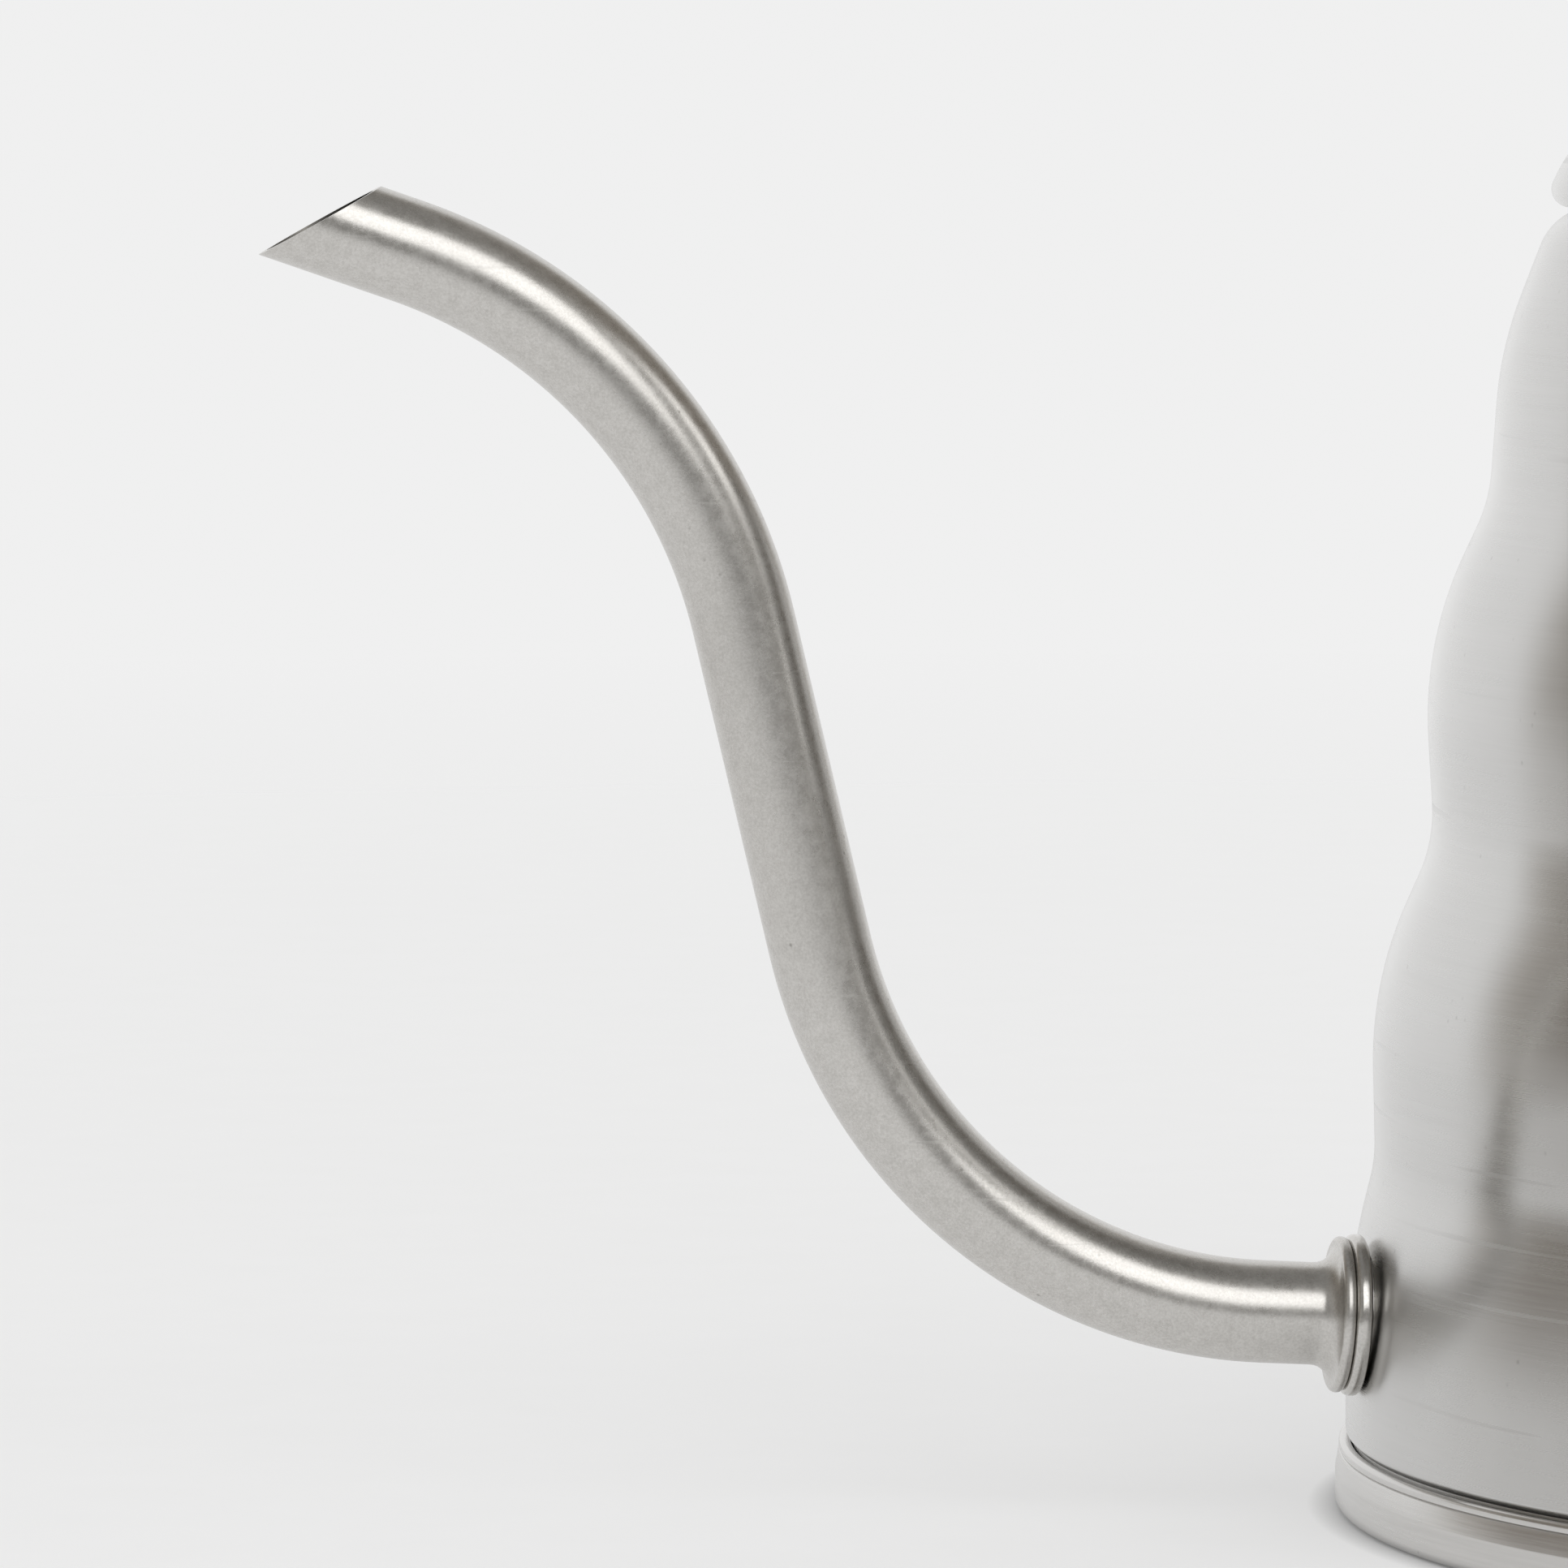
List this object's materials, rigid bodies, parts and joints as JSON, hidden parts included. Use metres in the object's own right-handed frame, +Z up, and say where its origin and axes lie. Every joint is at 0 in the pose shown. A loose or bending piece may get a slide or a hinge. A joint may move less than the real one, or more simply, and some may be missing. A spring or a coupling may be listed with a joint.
{
  "type": "gooseneck kettle",
  "caption": "Stove-top pour-over kettle: rippled steel body on a hemmed base, slim gooseneck spout with slanted lip, lift-off lid with knob and a moulded loop handle.",
  "frame": {"origin": "on the body's axis, in the plane of the foot ring that stands on the table", "axes": "+Z up along the body's axis, +X towards the handle, so the spout points to -X"},
  "size_m": [0.2732, 0.144, 0.147],
  "materials": {
    "body_steel": "satin, brushed round the axis",
    "base_steel": "satin, a little brighter than the body",
    "spout_steel": "fine tumbled satin",
    "lid_steel": "satin, brushed round the axis",
    "fitting_steel": "satin",
    "screw_steel": "bright plated",
    "dark_phenolic": "fine matt moulding",
    "insert_brass": "turned"
  },
  "bodies": {
    "kettle": {"body_shell": "body_steel", "base_pan": "base_steel", "spout_collar": "fitting_steel", "spout_tube": "spout_steel", "handle_upper_bracket": "fitting_steel", "handle_lower_bracket": "fitting_steel", "handle_grip": "dark_phenolic", "handle_screws": "screw_steel", "handle_washers": "screw_steel", "handle_inserts": "insert_brass"},
    "lid": {"lid_dome": "lid_steel", "lid_skirt": "fitting_steel", "knob_cup": "fitting_steel", "lid_knob": "dark_phenolic", "knob_insert": "insert_brass", "knob_washer": "screw_steel", "knob_screw": "screw_steel"}
  },
  "joints": [
    {"name": "lid_lift", "type": "slide", "parent": "kettle", "child": "lid", "axis": [0, 0, 1], "range_m": [0, 0.06]}
  ]
}
